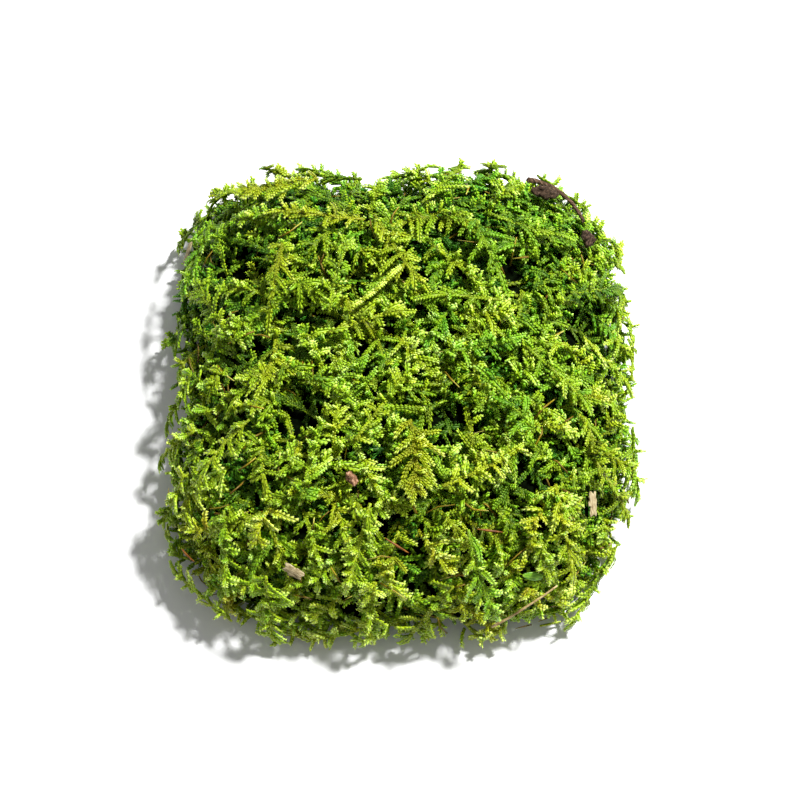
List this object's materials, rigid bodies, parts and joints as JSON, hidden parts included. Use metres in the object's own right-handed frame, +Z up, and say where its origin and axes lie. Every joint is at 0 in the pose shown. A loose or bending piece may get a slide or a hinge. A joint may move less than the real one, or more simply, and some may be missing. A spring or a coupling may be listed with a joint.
{
  "type": "moss clump",
  "caption": "Squarish cushion of feather moss with lapping pinnate fronds over a packed mat, dotted with fallen litter, cut off flat to rest on the ground.",
  "frame": {"origin": "on the flat cut underneath, below the middle of the clump's box", "axes": "+Z up out of the ground, +X to the right and +Y to the back as the picture shows the clump, which is longest along Y"},
  "size_m": [0.1179, 0.1269, 0.0377],
  "materials": {
    "old_moss": "dark packed older moss shoots, dull and fibrous",
    "moss_green": "yellow-green leafy moss shoots with a soft wet sheen",
    "bark": "weathered brown bark, dull",
    "dead_leaf": "dry beige dead leaf, dull",
    "needle": "dry orange-brown conifer needle",
    "straw": "dry straw-coloured stalk",
    "seedling": "smooth fresh green leaf"
  },
  "bodies": {
    "root": {"bark_crumb_1": "bark", "bark_crumb_2": "bark", "bark_crumb_3": "bark", "brown_twig": "bark", "dead_leaf_scrap_1": "dead_leaf", "dead_leaf_scrap_2": "dead_leaf", "dead_leaf_scrap_3": "dead_leaf", "frond_01": "moss_green", "frond_02": "moss_green", "frond_03": "moss_green", "frond_04": "moss_green", "frond_05": "moss_green", "frond_06": "moss_green", "frond_07": "moss_green", "frond_08": "moss_green", "frond_09": "moss_green", "frond_10": "moss_green", "frond_11": "moss_green", "frond_12": "moss_green", "frond_13": "moss_green", "frond_14": "moss_green", "frond_15": "moss_green", "frond_16": "moss_green", "frond_17": "moss_green", "frond_18": "moss_green", "frond_19": "moss_green", "frond_20": "moss_green", "frond_21": "moss_green", "frond_22": "moss_green", "frond_23": "moss_green", "frond_24": "moss_green", "frond_25": "moss_green", "frond_26": "moss_green", "frond_27": "moss_green", "frond_28": "moss_green", "frond_29": "moss_green", "frond_30": "moss_green", "frond_31": "moss_green", "frond_32": "moss_green", "frond_33": "moss_green", "frond_34": "moss_green", "frond_35": "moss_green", "frond_36": "moss_green", "frond_37": "moss_green", "frond_38": "moss_green", "frond_39": "moss_green", "frond_40": "moss_green", "frond_41": "moss_green", "frond_42": "moss_green", "frond_43": "moss_green", "frond_44": "moss_green", "frond_45": "moss_green", "frond_46": "moss_green", "frond_47": "moss_green", "moss_mat": "old_moss", "pale_stalk": "straw", "pine_needle_1": "needle", "pine_needle_2": "needle", "pine_needle_3": "needle", "seedling_leaf": "seedling"}
  },
  "joints": []
}
